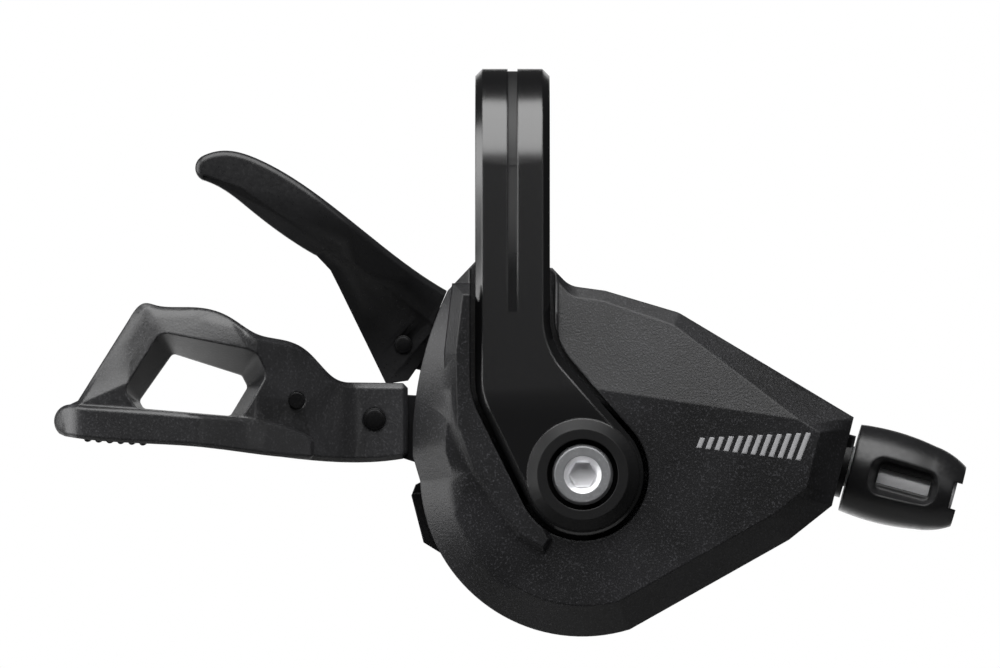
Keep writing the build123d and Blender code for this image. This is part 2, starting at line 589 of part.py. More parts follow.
def make_release_plate():
    """Steel plate of the release lever: ring on the drum's hub and an arm out of the housing."""
    arm = outline((-2, 8.0), (-17.6, 20.6), (-22.5, 20.6), (-23.4, 13.6), (-20.0, 12.8), (-8, 3))
    plate = Pos(*at(0, 0)) * Circle(8.6) + arm - Pos(*at(0, 0)) * Circle(HUB_RADIUS + RUNNING_FIT)
    plate -= Pos(*at(*RELEASE_RIVET)) * Circle(RELEASE_RIVET_RADIUS)
    return slab(plate, RELEASE_NEAR_Y, RELEASE_NEAR_Y + 1.4)


def make_release_grip():
    """Moulded release paddle with a gusset over the plate, stepping toward the front past the bar."""
    upper = Spline(at(-46.6, 39.2), at(-43.6, 39.8), at(-39.5, 38.6), at(-32.6, 34.4), at(-25.6, 28.9),
                   at(-16.7, 22.6))
    lower = Spline(at(-32.6, 26.8), at(-35.9, 28.8), at(-40.6, 32.3), at(-44.3, 35.1), at(-46.8, 36.2))
    tip = ThreePointArc(at(-46.8, 36.2), at(-47.6, 37.8), at(-46.6, 39.2))
    gusset = Polyline(at(-16.7, 22.6), at(-18.2, 19.0), at(-19.2, 14.8), at(-21.5, 11.5), at(-24.2, 11.1),
                      at(-30.0, 23.1), at(-31.0, 25.1), at(-32.6, 26.8))
    face = make_face(upper.edges() + gusset.edges() + lower.edges() + tip.edges())
    near = GUSSET_NEAR_Y
    deep = GUSSET_DEEP_Y
    aim = math.radians(140)
    along = Plane(origin=(AXLE_X, 0, AXLE_Z), x_dir=(math.cos(aim), 0, math.sin(aim)),
                  z_dir=(-math.sin(aim), 0, math.cos(aim)))
    side = make_face(
        Polyline((15, near), (28.5, near), (44.0, PADDLE_NEAR_Y), (75, PADDLE_NEAR_Y), (75, PADDLE_DEEP_Y),
                 (41.0, PADDLE_DEEP_Y), (28.5, deep), (15, deep), close=True)
    )
    side = fillet(side.vertices().sort_by(Axis.X)[2:6], PADDLE_SWEEP)
    depth = extrude(along * side, amount=40, both=True)
    strip = spread((-38, 0.6), (-33.5, -0.9), (-25.9, -6.1), (-18.4, -11.1), (-10.3, -17.3), (-9, -19),
                   (-14, -27), (-25, -14), (-38, -3))
    grip = slab(face, -40, 10) & depth
    front = [face for face in grip.faces() if face.normal_at(face.center()).Y < -0.5]
    rims = [edge for face in front for edge in face.edges() if edge.geom_type == GeomType.BSPLINE]
    grip = fillet(rims, PADDLE_ROUND)
    grip -= (slab(strip, -40, 10) & depth) - Pos(0, CREASE_STEP, 0) * depth
    grip -= make_release_plate()
    return grip - disc(RELEASE_RIVET_RADIUS, -30, 10, at(*RELEASE_RIVET))


def make_sleeve():
    """Plated adjuster sleeve: plain thread body, bore for the inner cable, socket for the outer casing."""
    radius = SLEEVE_RADIUS
    end = KNOB_LENGTH - 0.4
    return turned([(0.9, -8.5), (radius, -8.5), (radius, end), (CASING_SOCKET_RADIUS, end),
                   (CASING_SOCKET_RADIUS, 4.0), (0.9, 4.0)])


def make_knob():
    """Barrel knob: bulging body, a scooped window in front and behind, and a notch across its end."""
    bore = SLEEVE_RADIUS + RUNNING_FIT
    end = KNOB_LENGTH + 0.2
    shoulder = (KNOB_RADIUS - 0.2, 0, end * 0.7)
    rim = (KNOB_RADIUS - 1.7, 0, end)
    belly = ThreePointArc((KNOB_RADIUS, 0, 0.3), (KNOB_RADIUS + 0.3, 0, end * 0.35), shoulder)
    nose = ThreePointArc(shoulder, (KNOB_RADIUS - 0.7, 0, end * 0.86), rim)
    core = Polyline(rim, (bore, 0, end), (bore, 0, 0.3), (KNOB_RADIUS, 0, 0.3))
    section = make_face(belly.edges() + nose.edges() + core.edges())
    knob = adjuster_plane(0).location * revolve(section, axis=Axis.Z)
    scoop = extrude(Pos(0, 0, KNOB_RADIUS - 1.9) * RectangleRounded(3.2, 7.0, 0.8), amount=4, taper=-26)
    for side in (90, 270):
        turn = adjuster_plane(end / 2).location * Rot(0, 0, side) * Rot(90, 0, 0)
        knob -= turn * scoop
        knob -= turn * Pos(0, 0, KNOB_RADIUS) * Box(1.9, 6.6, 2 * KNOB_RADIUS - 1)
    return knob - adjuster_plane(end).location * Box(20, 3.3, 2.0)


def staked_pin(radius, near, centre):
    """Pin standing on the base plate, with a thinner stub staked through it."""
    stub = disc(STAKE_RADIUS, BASE_NEAR_Y, BASE_NEAR_Y + PLATE_THICKNESS, centre)
    return disc(radius, near, BASE_NEAR_Y, centre) + stub


def nodes():
    """Every piece by its node name."""
    winding_pivot = polar(PAWL_PIVOT_RADIUS, WINDING_PIVOT_ANGLE)
    position_pivot = polar(PAWL_PIVOT_RADIUS, POSITION_PIVOT_ANGLE)
    step_y = (LOOP_NEAR_Y + BLOCK_NEAR_Y) / 2
    inner_rivet = disc(INNER_RIVET_RADIUS, BLOCK_NEAR_Y - 0.3, BLOCK_DEEP_Y, at(*INNER_RIVET))
    outer_rivet = disc(OUTER_RIVET_RADIUS, step_y - 1.55, step_y + 2.45, at(*OUTER_RIVET))
    release_rivet = disc(RELEASE_RIVET_RADIUS, GUSSET_NEAR_Y - 0.1, GUSSET_DEEP_Y + 0.1, at(*RELEASE_RIVET))
    made = {
        "clamp_band": make_clamp_band(),
        "clamp_bolt": make_clamp_bolt(),
        "upper_cover": make_upper_cover(),
        "lower_case": make_lower_case(),
        "base_plate": make_base_plate(),
        "main_axle": make_main_axle(),
        "axle_nut": make_axle_nut(),
        "cable_port_plug": plug_solid(),
        "cable_guide": make_cable_guide(),
        "pawl_pivot_pin": staked_pin(PAWL_PIN_RADIUS, RATCHET_NEAR_Y - 0.3, position_pivot),
        "spring_post": staked_pin(1.9, -6.0, at(*SPRING_POST)),
        "lever_return_spring": coil(at(*SPRING_POST), 2.45, 0.4, -5.5, 3.6, 4),
        "drum_spring": coil(at(0, 0), (POCKET_OUTER + POCKET_INNER) / 2, 0.45, 1.3, BASE_NEAR_Y - 0.1, 2),
        "main_lever_plate": make_main_plate(),
        "main_lever_grip": make_main_grip(),
        "main_lever_rivet_inner": inner_rivet,
        "main_lever_rivet_outer": outer_rivet,
        "winding_pawl_pin": disc(PAWL_PIN_RADIUS, PLATE_NEAR_Y, RATCHET_NEAR_Y + 1.5, winding_pivot),
        "winding_pawl": make_pawl(WINDING_TOOTH),
        "release_lever_plate": make_release_plate(),
        "release_lever_grip": make_release_grip(),
        "release_lever_rivet": release_rivet,
        "cable_drum": make_drum(),
        "ratchet_plate": make_ratchet(),
        "position_pawl": make_pawl(POSITION_TOOTH),
        "adjuster_sleeve": make_sleeve(),
        "adjuster_knob": make_knob(),
    }
    for index, place in enumerate(SCREW_PLACES):
        made[f"cover_screw_{index + 1}"] = make_cover_screw(place)
    return made


if __name__ == "__main__":
    os.makedirs("parts", exist_ok=True)
    for name, piece in nodes().items():
        print(name, round(piece.volume, 1), len(piece.solids()))
        export_step(piece, f"parts/{name}.step")
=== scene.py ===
import logging
import math
from dataclasses import dataclass
from enum import Enum
from typing import Any, Callable, Optional

import bmesh
import bpy
from mathutils import Matrix, Vector


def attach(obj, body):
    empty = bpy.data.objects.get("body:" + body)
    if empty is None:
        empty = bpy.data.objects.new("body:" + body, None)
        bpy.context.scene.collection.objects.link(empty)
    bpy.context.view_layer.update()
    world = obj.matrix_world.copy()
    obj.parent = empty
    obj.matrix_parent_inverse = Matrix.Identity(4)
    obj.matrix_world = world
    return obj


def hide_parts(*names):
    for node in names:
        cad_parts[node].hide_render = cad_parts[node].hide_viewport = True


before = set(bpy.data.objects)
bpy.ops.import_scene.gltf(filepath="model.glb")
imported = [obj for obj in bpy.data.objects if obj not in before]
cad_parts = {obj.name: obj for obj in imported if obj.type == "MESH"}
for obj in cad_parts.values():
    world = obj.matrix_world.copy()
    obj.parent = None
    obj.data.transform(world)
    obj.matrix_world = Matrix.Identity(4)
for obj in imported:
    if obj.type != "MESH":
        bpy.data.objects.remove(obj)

log = logging.getLogger("trigger_shifter")
MM = 0.001
AXLE = Vector((8.6, 0.0, -36.2)) * MM
FACE_TILT = math.radians(3.0)
FACE_RISE = 4.0 * MM
RIM_DEPTH = 12.1 * MM
ADJUSTER_FALL = math.radians(15.2)
ADJUSTER_START = Vector((41.5, -0.4, -35.38)) * MM
# Welding and bending of copied solids.
WELD = 0.002 * MM
STIR = 0.01 * MM
FLAT_ANGLE = math.radians(0.6)
CREASE_DEGREES = 11.5
BEND_CUTS = 2
# Spans of the noise and of the edges that the finishes read.
GRAIN_SPAN = (0.3, 0.7)
SPECK_SPAN = (0.56, 0.74)
DRIFT_SPAN = (0.35, 0.75)
PALE_EDGE_SPAN = (0.53, 0.62)
DRIFT_SHARE = 0.12
EDGE_SAMPLES = 6
# Detail of the noise for grain, for drift and for drawn lines.
GRAIN_DETAIL = 3.0
DRIFT_DETAIL = 2.0
LINE_DETAIL = 4.0


class Body(str, Enum):
    """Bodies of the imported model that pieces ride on."""

    HOUSING = "housing"
    MAIN_LEVER = "main_lever"
    RELEASE_LEVER = "release_lever"
    SLEEVE = "adjuster_sleeve"
    KNOB = "adjuster_knob"


class Light(Enum):
    """Soft lights of the studio, each as (place, aim, width, height, power), in metres and watts."""

    TOP = ((-0.05, -0.33, 0.55), (0.0, -0.01, -0.01), 0.90, 0.78, 10.0)
    LEFT = ((-0.78, -0.18, 0.08), (0.0, 0.0, -0.02), 0.80, 0.80, 7.5)
    RIGHT = ((0.70, -0.60, 0.25), (0.0, 0.0, -0.02), 0.40, 0.60, 0.7)
    BACK = ((-0.40, 0.90, -0.60), (0.0, 0.0, -0.02), 1.20, 0.90, 3.5)


def linear(code: str) -> tuple[float, float, float, float]:
    """Turns an sRGB hex colour into linear values.

    Args:
        code: colour such as "#202022".

    Returns:
        Linear red, green, blue and an alpha of 1.
    """
    parts = [int(code[i:i + 2], 16) / 255 for i in (1, 3, 5)]
    bent = [c / 12.92 if c <= 0.04045 else ((c + 0.055) / 1.055) ** 2.4 for c in parts]
    return (bent[0], bent[1], bent[2], 1.0)


def add(tree: bpy.types.NodeTree, kind: str, settings: Optional[dict[str, Any]] = None,
        values: Optional[dict[Any, Any]] = None, feeds: Optional[dict[Any, Any]] = None) -> bpy.types.Node:
    """Adds one node with its settings, socket values and links.

    Args:
        tree: tree that gets the node.
        kind: node type.
        settings: properties of the node itself.
        values: constants by input name or index.
        feeds: output sockets by input name or index.

    Returns:
        The new node.
    """
    made = tree.nodes.new(kind)
    for name, value in (settings or {}).items():
        setattr(made, name, value)
    for key, value in (values or {}).items():
        made.inputs[key].default_value = value
    for key, source in (feeds or {}).items():
        tree.links.new(source, made.inputs[key])
    return made


@dataclass(frozen=True)
class Finish:
    """Surface of one real material.

    Attributes:
        name: the material's own name.
        colour: main sRGB colour.
        second: sRGB colour that the main one drifts toward.
        rough: mean roughness.
        metal: metallic share.
        level: specular level, lower for a matt mould texture.
        grain_mm: size of the surface grain.
        bump_mm: height of the grain.
        drift_mm: size of the slow colour drift.
        speck: share of the second colour in single grains.
        pale_edges: share of the second colour on sharp convex edges.
        haze: how far the roughness strays from its mean.
        edge_mm: radius of the softly rounded edges.
    """

    name: str
    colour: str
    second: str
    rough: float
    metal: float = 0.0
    level: float = 0.5
    grain_mm: float = 0.35
    bump_mm: float = 0.02
    drift_mm: float = 9.0
    speck: float = 0.25
    pale_edges: float = 0.0
    haze: float = 0.06
    edge_mm: float = 0.25

    def material(self) -> bpy.types.Material:
        """Makes the node material once, or returns the one already made.

        Returns:
            Material with grain, colour drift and roughness from its nodes.
        """
        known = bpy.data.materials.get(self.name)
        if known is not None:
            return known
        material = bpy.data.materials.new(self.name)
        material.use_nodes = True
        tree = material.node_tree
        shader = tree.nodes["Principled BSDF"]
        shader.inputs["Metallic"].default_value = self.metal
        shader.inputs["Specular IOR Level"].default_value = self.level
        self.wire(tree, shader)
        return material

    def wire(self, tree: bpy.types.NodeTree, shader: bpy.types.Node) -> None:
        """Wires moulded grain: fine bumps, single lighter grains, a slow drift and paler sharp convex edges.

        Args:
            tree: the material's node tree.
            shader: its principled shader.
        """
        place = add(tree, "ShaderNodeTexCoord").outputs["Object"]
        grain = add(tree, "ShaderNodeTexNoise", feeds={"Vector": place},
                    values={"Scale": 1 / (self.grain_mm * MM), "Detail": GRAIN_DETAIL})
        drift = add(tree, "ShaderNodeTexNoise", feeds={"Vector": place},
                    values={"Scale": 1 / (self.drift_mm * MM), "Detail": DRIFT_DETAIL})
        specks = add(tree, "ShaderNodeMapRange",
                     values={1: SPECK_SPAN[0], 2: SPECK_SPAN[1], 3: 0.0, 4: self.speck},
                     feeds={0: grain.outputs["Fac"]})
        slow = add(tree, "ShaderNodeMapRange",
                   values={1: DRIFT_SPAN[0], 2: DRIFT_SPAN[1], 3: 0.0, 4: DRIFT_SHARE},
                   feeds={0: drift.outputs["Fac"]})
        share = add(tree, "ShaderNodeMath", {"operation": "ADD"},
                    feeds={0: specks.outputs[0], 1: slow.outputs[0]})
        if self.pale_edges > 0:
            edge = add(tree, "ShaderNodeMapRange",
                       values={1: PALE_EDGE_SPAN[0], 2: PALE_EDGE_SPAN[1], 3: 0.0, 4: self.pale_edges},
                       feeds={0: add(tree, "ShaderNodeNewGeometry").outputs["Pointiness"]})
            share = add(tree, "ShaderNodeMath", {"operation": "ADD"},
                        feeds={0: share.outputs[0], 1: edge.outputs[0]})
        tint = add(tree, "ShaderNodeMix", {"data_type": "RGBA"},
                   {6: linear(self.colour), 7: linear(self.second)}, {0: share.outputs[0]})
        tree.links.new(tint.outputs[2], shader.inputs["Base Color"])
        self.surface(tree, shader, grain.outputs["Fac"], (self.rough - self.haze, self.rough + self.haze))

    def surface(self, tree: bpy.types.NodeTree, shader: bpy.types.Node, grain: bpy.types.NodeSocket,
                span: tuple[float, float]) -> None:
        """Wires the gloss and the bumps of the grain, with softly rounded edges.

        Args:
            tree: the material's node tree.
            shader: its principled shader.
            grain: height of the grain.
            span: roughness of the lowest and of the highest grains.
        """
        gloss = add(tree, "ShaderNodeMapRange",
                    values={1: GRAIN_SPAN[0], 2: GRAIN_SPAN[1], 3: span[0], 4: span[1]}, feeds={0: grain})
        tree.links.new(gloss.outputs[0], shader.inputs["Roughness"])
        round_edge = add(tree, "ShaderNodeBevel", {"samples": EDGE_SAMPLES}, {"Radius": self.edge_mm * MM})
        bump = add(tree, "ShaderNodeBump", values={"Strength": 1.0, "Distance": self.bump_mm * MM},
                   feeds={"Height": grain, "Normal": round_edge.outputs[0]})
        tree.links.new(bump.outputs[0], shader.inputs["Normal"])


@dataclass(frozen=True)
class Fading(Finish):
    """Finish whose roughness changes with height on the object.

    Attributes:
        low_mm: height at which the roughness has come down to its least.
        high_mm: height from which it keeps its mean value.
        least: roughness at the low end.
    """

    low_mm: float = 0.0
    high_mm: float = 1.0
    least: float = 0.2

    def wire(self, tree: bpy.types.NodeTree, shader: bpy.types.Node) -> None:
        """Wires the plain grain and then the roughness by height.

        Args:
            tree: the material's node tree.
            shader: its principled shader.
        """
        super().wire(tree, shader)
        place = add(tree, "ShaderNodeTexCoord").outputs["Object"]
        height = add(tree, "ShaderNodeSeparateXYZ", feeds={0: place}).outputs["Z"]
        gloss = add(tree, "ShaderNodeMapRange",
                    values={1: self.low_mm * MM, 2: self.high_mm * MM, 3: self.least, 4: self.rough},
                    feeds={0: height})
        tree.links.new(gloss.outputs[0], shader.inputs["Roughness"])


@dataclass(frozen=True)
class Brushed(Finish):
    """Metal with fine lines along one axis.

    Attributes:
        lines: stretch of the grain on X, Y and Z; a large value draws it out along that axis.
        bright: how far the smoothest lines lie below the mean roughness.
        dull: how far the dullest lines lie above it.
    """

    lines: tuple[float, float, float] = (1.0, 6.0, 1.0)
    bright: float = 0.08
    dull: float = 0.1

    def wire(self, tree: bpy.types.NodeTree, shader: bpy.types.Node) -> None:
        """Wires drawn-out grain that streaks the gloss.

        Args:
            tree: the material's node tree.
            shader: its principled shader.
        """
        place = add(tree, "ShaderNodeTexCoord").outputs["Object"]
        squeeze = tuple(1.0 / v for v in self.lines)
        drawn = add(tree, "ShaderNodeMapping", values={"Scale": squeeze}, feeds={"Vector": place})
        grain = add(tree, "ShaderNodeTexNoise", feeds={"Vector": drawn.outputs[0]},
                    values={"Scale": 1 / (self.grain_mm * MM), "Detail": LINE_DETAIL})
        tint = add(tree, "ShaderNodeMix", {"data_type": "RGBA"},
                   {6: linear(self.colour), 7: linear(self.second)}, {0: grain.outputs["Fac"]})
        tree.links.new(tint.outputs[2], shader.inputs["Base Color"])
        self.surface(tree, shader, grain.outputs["Fac"], (self.rough - self.bright, self.rough + self.dull))


# Glass-filled nylon, spark-eroded mould: dull black with pale single grains that sparkle in soft light.
COVER_NYLON = Finish("glass_filled_nylon_cover", "#151516", "#505054", 0.38, level=0.42, grain_mm=0.22,
                     bump_mm=0.03, speck=0.5, edge_mm=0.35)
# The same nylon from a smoother mould: dark, even, with a soft sheen on its rounded edges.
CASE_NYLON = Finish("glass_filled_nylon_case", "#101011", "#1e1e20", 0.40, level=0.32, grain_mm=0.4,
                    bump_mm=0.010)
# Lever nylon: a little glossier where thumbs polish it, with a fine pebble and paler sharp convex edges.
LEVER_NYLON = Finish("moulded_nylon_lever", "#101011", "#4a4a4d", 0.38, level=0.7, grain_mm=0.26,
                     bump_mm=0.016, speck=0.4, pale_edges=0.25, edge_mm=0.4)
# Paddle nylon: the smoothest of the mouldings, so it shows one long highlight. Its colour is set lighter
# than the lever's same nylon: painted light that lifts the shade on its lower part.
PADDLE_NYLON_PAINTED_LIGHTER = Finish("moulded_nylon_paddle_painted_lighter", "#1c1c1d", "#303032", 0.33, level=0.45, grain_mm=0.34,
                      bump_mm=0.006, speck=0.1, edge_mm=0.3)
# Acetal knob: dense black with a waxy highlight.
KNOB_ACETAL = Finish("black_acetal_knob", "#151516", "#262628", 0.34, level=0.5, grain_mm=0.5, bump_mm=0.005,
                     edge_mm=0.5)
# Bead-blasted and black anodised aluminium: silky, with broad soft highlights.
BAND_ALUMINIUM = Finish("black_anodised_aluminium", "#080809", "#101011", 0.23, level=0.9, grain_mm=0.12,
                        bump_mm=0.0003, speck=0.04, haze=0.01, edge_mm=0.35)
# The same aluminium as cut in the groove: duller, so it stays dark in the highlight, paler outside it.
GROOVE_ALUMINIUM = Fading("cut_anodised_aluminium", "#0a0a0b", "#131314", 0.56, level=0.5, grain_mm=0.10,
                          bump_mm=0.0012, low_mm=-11.0, high_mm=-1.0, least=0.2)
# The same aluminium where the bolt's seat is cut: dull and dark all round.
RING_ALUMINIUM = Finish("seat_anodised_aluminium", "#0a0a0b", "#131314", 0.5, level=0.3, grain_mm=0.12,
                        bump_mm=0.0006, speck=0.04, edge_mm=0.2)
# Zinc-plated steel bolt: the head is dulled to a mid grey.
BOLT_STEEL = Finish("dulled_zinc_plate", "#9b9c9e", "#c4c5c7", 0.5, metal=1.0, grain_mm=0.3, bump_mm=0.004,
                    speck=0.4)
# The same plating inside the key socket, painted much lighter than the head: a painted highlight in the
# hollow.
SOCKET_PAINTED_HIGHLIGHT = Finish("zinc_plate_painted_highlight", "#f0f0f2", "#fafafb", 0.5, metal=1.0, grain_mm=0.3, bump_mm=0.003)
# Stamped steel plates: rolled lines and a cool grey.
PLATE_STEEL = Brushed("stamped_steel", "#9c9da0", "#c2c3c6", 0.33, metal=1.0, grain_mm=0.2, bump_mm=0.003,
                      lines=(8.0, 1.0, 1.0))
# Spring wire: drawn, bright along its length.
SPRING_STEEL = Brushed("drawn_spring_steel", "#85868a", "#acadb1", 0.28, metal=1.0, grain_mm=0.15,
                       bump_mm=0.002, lines=(5.0, 5.0, 1.0))
# Bright nickel on brass: turned lines round the rod and a slight haze.
SLEEVE_NICKEL = Brushed("bright_nickel_plate", "#e2e2e4", "#f4f4f5", 0.46, metal=0.5, grain_mm=0.25,
                        bump_mm=0.008, lines=(1.0, 4.0, 1.0))
# Black-oxide steel rivets: dark with a faint metallic glint.
RIVET_OXIDE = Finish("black_oxide_steel", "#141415", "#222224", 0.40, metal=0.7, grain_mm=0.2, bump_mm=0.004)
# Phosphated steel of the lever plates: charcoal and dull.
PLATE_PHOSPHATE = Finish("phosphated_steel", "#1d1d1f", "#2a2a2c", 0.5, metal=0.4, level=0.4, grain_mm=0.2,
                         bump_mm=0.004)
# Nitrile plug: matt and slightly paler than the case.
PLUG_RUBBER = Finish("nitrile_rubber", "#1b1b1b", "#262626", 0.62, level=0.4, grain_mm=0.4, bump_mm=0.012)
# Natural nylon guide: translucent-looking ivory.
GUIDE_NYLON = Finish("natural_nylon", "#d9d5c8", "#e6e2d6", 0.45, level=0.4, grain_mm=0.8, bump_mm=0.004,
                     speck=0.1)
# Filled acetal drum: grey and waxy.
DRUM_ACETAL = Finish("grey_acetal", "#5a5b5e", "#6b6c70", 0.42, level=0.4, grain_mm=0.6, bump_mm=0.004,
                     speck=0.1)
# Pad-printed scale on the cover: a pale matt grey ink with thin spots.
SCALE_INK = Finish("pale_grey_ink", "#98989a", "#b4b4b6", 0.6, level=0.4, grain_mm=0.2, bump_mm=0.004,
                   speck=0.3)

NODE_FINISH: dict[str, Finish] = {
    "base_plate": PLATE_STEEL, "main_axle": PLATE_STEEL, "axle_nut": BOLT_STEEL,
    "cable_port_plug": PLUG_RUBBER, "cable_guide": GUIDE_NYLON,
    "pawl_pivot_pin": PLATE_STEEL, "spring_post": PLATE_STEEL,
    "lever_return_spring": SPRING_STEEL, "drum_spring": SPRING_STEEL,
    "main_lever_plate": PLATE_PHOSPHATE, "main_lever_rivet_inner": RIVET_OXIDE,
    "main_lever_rivet_outer": RIVET_OXIDE, "winding_pawl_pin": PLATE_STEEL, "winding_pawl": PLATE_STEEL,
    "release_lever_plate": PLATE_PHOSPHATE, "release_lever_rivet": RIVET_OXIDE,
    "cable_drum": DRUM_ACETAL, "ratchet_plate": PLATE_STEEL, "position_pawl": PLATE_STEEL,
    "cover_screw_1": BOLT_STEEL, "cover_screw_2": BOLT_STEEL, "cover_screw_3": BOLT_STEEL,
}


def show(mesh: bpy.types.Mesh, name: str) -> bpy.types.Object:
    """Links a mesh into the scene as an object at the origin.

    Args:
        mesh: the finished or base mesh.
        name: the object's name.

    Returns:
        The new object.
    """
    made = bpy.data.objects.new(name, mesh)
    bpy.context.scene.collection.objects.link(made)
    return made


def settle(made: bpy.types.Object) -> bpy.types.Object:
    """Turns an object's modifiers into plain mesh and removes them.

    Args:
        made: object with live modifiers.

    Returns:
        The same object with a plain mesh.
    """
    graph = bpy.context.evaluated_depsgraph_get()
    graph.update()
    plain = bpy.data.meshes.new_from_object(made.evaluated_get(graph))
    made.modifiers.clear()
    made.data = plain
    return made


def group(name: str, given: str, sizes: tuple[str, ...], made: str) -> bpy.types.NodeTree:
    """Starts a geometry tree with its named sockets.

    Args:
        name: the tree's name.
        given: name of the geometry that comes in.
        sizes: names of the numbers that come in.
        made: name of the geometry that goes out.

    Returns:
        The tree, with no nodes yet.
    """
    tree = bpy.data.node_groups.new(name, "GeometryNodeTree")
    tree.interface.new_socket(given, in_out="INPUT", socket_type="NodeSocketGeometry")
    for size in sizes:
        tree.interface.new_socket(size, in_out="INPUT", socket_type="NodeSocketFloat")
    tree.interface.new_socket(made, in_out="OUTPUT", socket_type="NodeSocketGeometry")
    return tree


def grow(made: bpy.types.Object, tree: bpy.types.NodeTree, sizes: dict[str, float], finish: Finish) -> None:
    """Runs a geometry tree on an object, keeps the plain mesh and gives it its finish.

    Args:
        made: object with the points or the blank that the tree starts from.
        tree: the tree.
        sizes: values of its named inputs.
        finish: surface of the mesh.
    """
    modifier = made.modifiers.new(tree.name, "NODES")
    modifier.node_group = tree
    keys = {item.name: item.identifier for item in tree.interface.items_tree}
    for name, value in sizes.items():
        modifier[keys[name]] = value
    settle(made)
    made.data.materials.clear()
    made.data.materials.append(finish.material())


def reform(shape: bmesh.types.BMesh, form: Callable[[Vector], Vector]) -> None:
    """Moves the points of a mesh to their places, with enough new points where it bends.

    Args:
        shape: the welded mesh, changed in place.
        form: gives each point its place.
    """
    shifts = {vertex: form(vertex.co) - vertex.co for vertex in shape.verts}
    moved = {vertex for vertex, shift in shifts.items() if shift.length > STIR}
    bmesh.ops.triangulate(shape, faces=[face for face in shape.faces if moved.intersection(face.verts)])
    bent = [edge for edge in shape.edges
            if (shifts[edge.verts[0]] - shifts[edge.verts[1]]).length > STIR]
    bmesh.ops.subdivide_edges(shape, edges=bent, cuts=BEND_CUTS, use_grid_fill=True)
    bmesh.ops.triangulate(shape, faces=[face for face in shape.faces if len(face.verts) > 4])
    for vertex in shape.verts:
        vertex.co = form(vertex.co)


def moulding(node: str, name: str, finish: Finish, angle: float = CREASE_DEGREES,
             form: Optional[Callable[[Vector], Vector]] = None, level: bool = True) -> bpy.types.Object:
    """Copies a CAD node as one welded mesh, for a finish that softens its edges.

    Args:
        node: CAD node to copy.
        name: name of the new piece.
        finish: its surface.
        angle: edges sharper than this, in degrees, part two flats.
        form: gives each point of the copy its place in the finished moulding.
        level: whether large flats keep their own direction up to their edges.

    Returns:
        The new piece at the origin.
    """
    mesh = bpy.data.meshes.new(name)
    shape = bmesh.new()
    shape.from_mesh(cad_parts[node].data)
    bmesh.ops.remove_doubles(shape, verts=shape.verts, dist=WELD)
    bmesh.ops.dissolve_limit(shape, angle_limit=FLAT_ANGLE, verts=shape.verts, edges=shape.edges)
    if form is not None:
        reform(shape, form)
    for face in shape.faces:
        face.smooth = True
    shape.to_mesh(mesh)
    shape.free()
    made = show(mesh, name)
    made.data.set_sharp_from_angle(angle=math.radians(angle))
    if level:
        flats = made.modifiers.new("flats", "WEIGHTED_NORMAL")
        flats.keep_sharp = True
        settle(made)
    made.data.materials.append(finish.material())
    return made


def fit(piece: bpy.types.Object, body: Body, slot: str, *nodes: str) -> None:
    """Seats a finished piece on its body and in place of its nodes.

    Args:
        piece: the finished piece.
        body: body that it rides on.
        slot: material slot of the record; not used.
        nodes: CAD nodes that it stands for, if any.
    """
    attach(piece, body.value)
    if nodes:
        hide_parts(*nodes)
    log.info("%s on %s, %d faces", piece.name, body.value, len(piece.data.polygons))


@dataclass
class Clamp:
    """Band clamp: silky black band and its bolt, with a painted highlight in its key socket.

    Attributes:
        socket_radius: radius of the key socket, whose faces get the painted highlight, in millimetres.
        socket_depth: depth of the key socket in millimetres.
        groove_half: half the width of the groove in millimetres.
        ring_radius: outer radius of the cut ring round the bolt in millimetres.
    """

    socket_radius: float = 2.36
    socket_depth: float = 4.5
    groove_half: float = 0.66
    ring_radius: float = 7.4

    def build(self) -> None:
        """Makes the band and the bolt from the solids, with softened edges."""
        band = moulding("clamp_band", "band", BAND_ALUMINIUM)
        self.roughen(band.data)
        fit(band, Body.HOUSING, "band_coating", "clamp_band")
        bolt = moulding("clamp_bolt", "bolt", BOLT_STEEL)
        self.paint_socket_highlight(bolt.data)
        fit(bolt, Body.HOUSING, "bolt_steel", "clamp_bolt")

    @staticmethod
    def reach(mesh: bpy.types.Mesh, face: bpy.types.MeshPolygon) -> float:
        """Measures how far a face reaches out from the axle.

        Args:
            mesh: the mesh of the face.
            face: the face.

        Returns:
            Distance of its farthest corner from the axle's line, in metres.
        """
        corners = [mesh.vertices[index].co - AXLE for index in face.vertices]
        return max(math.hypot(corner.x, corner.z) for corner in corners)

    def roughen(self, mesh: bpy.types.Mesh) -> None:
        """Gives the groove along the band and the ring round the bolt their duller finishes.

        Args:
            mesh: the band's mesh.
        """
        mesh.materials.append(GROOVE_ALUMINIUM.material())
        mesh.materials.append(RING_ALUMINIUM.material())
        for face in mesh.polygons:
            if max(abs(mesh.vertices[index].co.x) for index in face.vertices) < self.groove_half * MM:
                face.material_index = 1
            if self.reach(mesh, face) < self.ring_radius * MM:
                face.material_index = 2

    def paint_socket_highlight(self, mesh: bpy.types.Mesh) -> None:
        """Paints the faces inside the key socket lighter than the head, as a painted highlight.

        Args:
            mesh: the bolt's mesh.
        """
        # The socket's faces get a lighter copy of the plating: a painted highlight.
        mesh.materials.append(SOCKET_PAINTED_HIGHLIGHT.material())
        front = min(vertex.co.y for vertex in mesh.vertices)
        for face in mesh.polygons:
            near = face.center.y < front + self.socket_depth * MM
            if near and self.reach(mesh, face) < self.socket_radius * MM:
                face.material_index = 1


